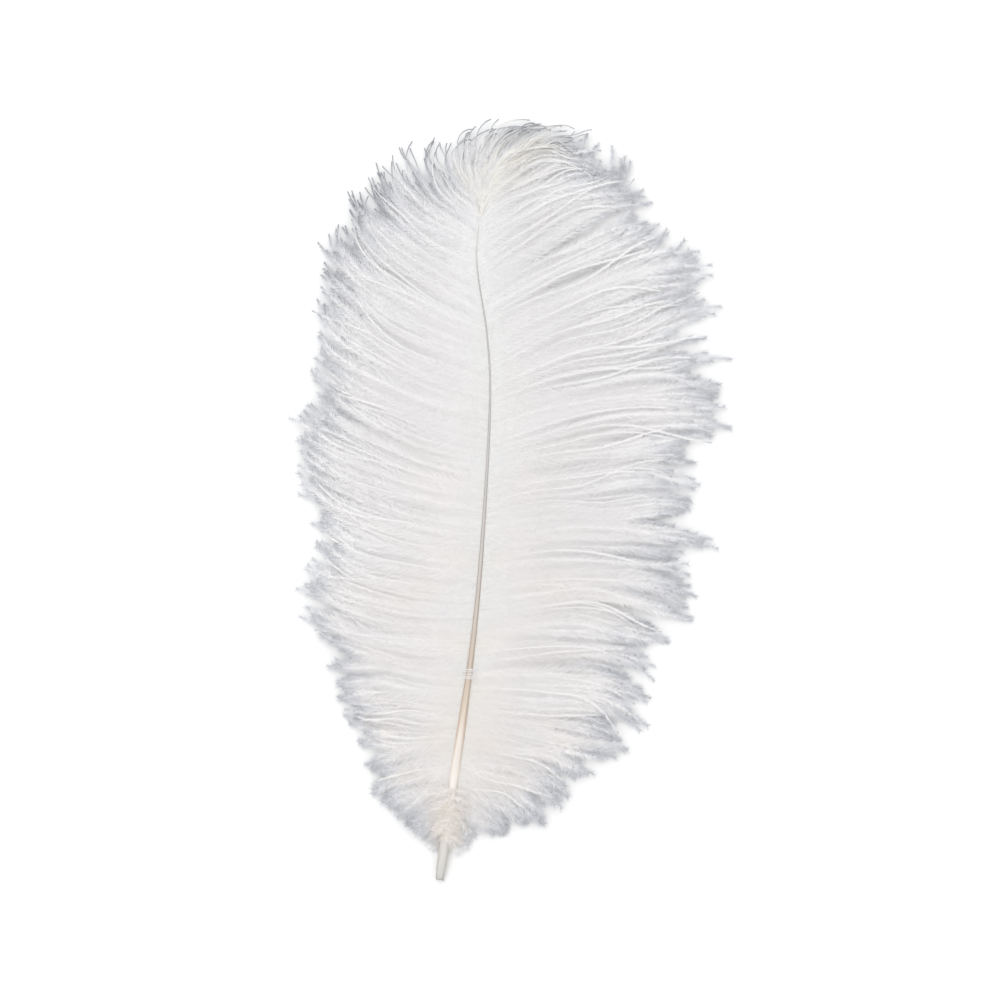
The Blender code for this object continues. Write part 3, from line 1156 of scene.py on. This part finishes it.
def make_shaft(line):
    """The shaft: a round tapering tube with closed ends, split a little at the quill tip."""
    shape = bmesh.new()
    layer = shape.loops.layers.uv.new(UV_MAP)
    rings = shaft_rings(shape, line)
    split_end(line, rings[0])

    def face(corners, spots):
        made = shape.faces.new(corners)
        made.smooth = True
        for loop, spot in zip(made.loops, spots):
            loop[layer].uv = spot

    for index, (low, high) in enumerate(zip(rings, rings[1:])):
        bottom = UV_REACH * index / (SHAFT_RINGS - 1)
        top = UV_REACH * (index + 1) / (SHAFT_RINGS - 1)
        for side in range(SHAFT_SIDES):
            after = (side + 1) % SHAFT_SIDES
            left = UV_REACH * side / SHAFT_SIDES
            right = UV_REACH * (side + 1) / SHAFT_SIDES
            spots = ((left, bottom), (right, bottom), (right, top), (left, top))
            face((low[side], low[after], high[after], high[side]), spots)
    turns = np.linspace(0, math.tau, SHAFT_SIDES)
    wide, high = END_PATCH
    for ring, height in ((rings[0][::-1], high), (rings[-1], UV_REACH)):
        face(ring, [(END_PLACE + wide * math.cos(turn), height + high * math.sin(turn)) for turn in turns])
    mesh = bpy.data.meshes.new("shaft")
    shape.to_mesh(mesh)
    shape.free()
    shaft = bpy.data.objects.new("shaft", mesh)
    bpy.context.scene.collection.objects.link(shaft)
    mesh.materials.append(shaft_look())
    return shaft


# -------------- stage


def make_floor():
    """A wide plain floor at the height of the surface that the plume lies on."""
    bpy.ops.mesh.primitive_plane_add(size=FLOOR_SIZE)
    floor = bpy.context.object
    floor.name = "floor"
    look = Look("pale_floor", *FLOOR_FINISH)
    look.shader.inputs["Base Color"].default_value = FLOOR_WHITE
    floor.data.materials.append(look.material)
    return floor


def make_light():
    """A white sky all round, and a broad lamp over the upper left of the plume."""
    world = bpy.data.worlds.new("studio")
    bpy.context.scene.world = world
    world.use_nodes = True
    sky = world.node_tree.nodes["Background"]
    sky.inputs["Color"].default_value = SKY_WHITE
    sky.inputs["Strength"].default_value = SKY_STRENGTH
    lamp = bpy.data.lights.new("overhead", "AREA")
    lamp.size = LAMP_SIZE
    lamp.energy = LAMP_POWER
    light = bpy.data.objects.new("overhead", lamp)
    light.location = LAMP_PLACE
    light.rotation_euler = (Vector((0, 0, 0)) - light.location).to_track_quat("-Z", "Y").to_euler()
    bpy.context.scene.collection.objects.link(light)


def make_camera():
    """A camera that looks straight down on the plume."""
    data = bpy.data.cameras.new("camera")
    data.lens = CAMERA_LENS
    data.sensor_width = CAMERA_SENSOR
    camera = bpy.data.objects.new("camera", data)
    camera.location = CAMERA_PLACE
    bpy.context.scene.collection.objects.link(camera)
    bpy.context.scene.camera = camera


# -------------- the plume

# Each piece of the barbs: its part of the plume, and the distances between which its barbs stand.
PIECES = (
    ("left_vane_base", "left", 0.0, 0.14),
    ("left_vane_middle", "left", 0.14, 0.205),
    ("left_vane_top", "left", 0.205, 1.0),
    ("right_vane_base", "right", 0.0, 0.115),
    ("right_vane_lower", "right", 0.115, 0.165),
    ("right_vane_upper", "right", 0.165, 0.215),
    ("right_vane_top", "right", 0.215, 1.0),
    ("quill_down", "down", 0.0, 1.0),
)

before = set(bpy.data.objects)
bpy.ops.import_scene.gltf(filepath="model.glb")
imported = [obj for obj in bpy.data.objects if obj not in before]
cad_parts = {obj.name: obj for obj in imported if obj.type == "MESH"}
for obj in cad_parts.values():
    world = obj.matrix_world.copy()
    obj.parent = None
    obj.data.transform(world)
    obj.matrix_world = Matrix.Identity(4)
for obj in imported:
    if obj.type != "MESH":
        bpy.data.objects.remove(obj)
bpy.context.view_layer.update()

line = shaft_line()
tree = barb_tree()
barb_material = barb_look("barb_fibre", BARB_GREYS)
barbule_material = barb_look("barbule_fluff", BARBULE_GREYS)
blade = barbule_blade(barbule_material)
barbs = all_barbs(line)
for number, (name, part, first, last) in enumerate(PIECES):
    chosen = [barb for distance, barb in barbs[part] if first <= distance < last]
    guides = barb_guides(name + "_guides", chosen)
    values = {
        "Barbule spacing": BARBULE_SPACING,
        "Least angle": LEAST_ANGLE,
        "Greatest angle": GREATEST_ANGLE,
        "Lift": BARBULE_LIFT,
        "Spin": BARBULE_SPIN,
        "Seed": PIECE_SEEDS * number,
        "Barbule": blade,
        "Barb material": barb_material,
        "Barbule material": barbule_material,
    }
    vane = grown(name, guides, tree, values)
    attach(vane, "root")
    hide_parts("feather")
bpy.data.objects.remove(blade)

shaft = make_shaft(line)
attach(shaft, "root")

make_floor()
make_light()
make_camera()
bpy.context.scene.view_settings.view_transform = "Standard"
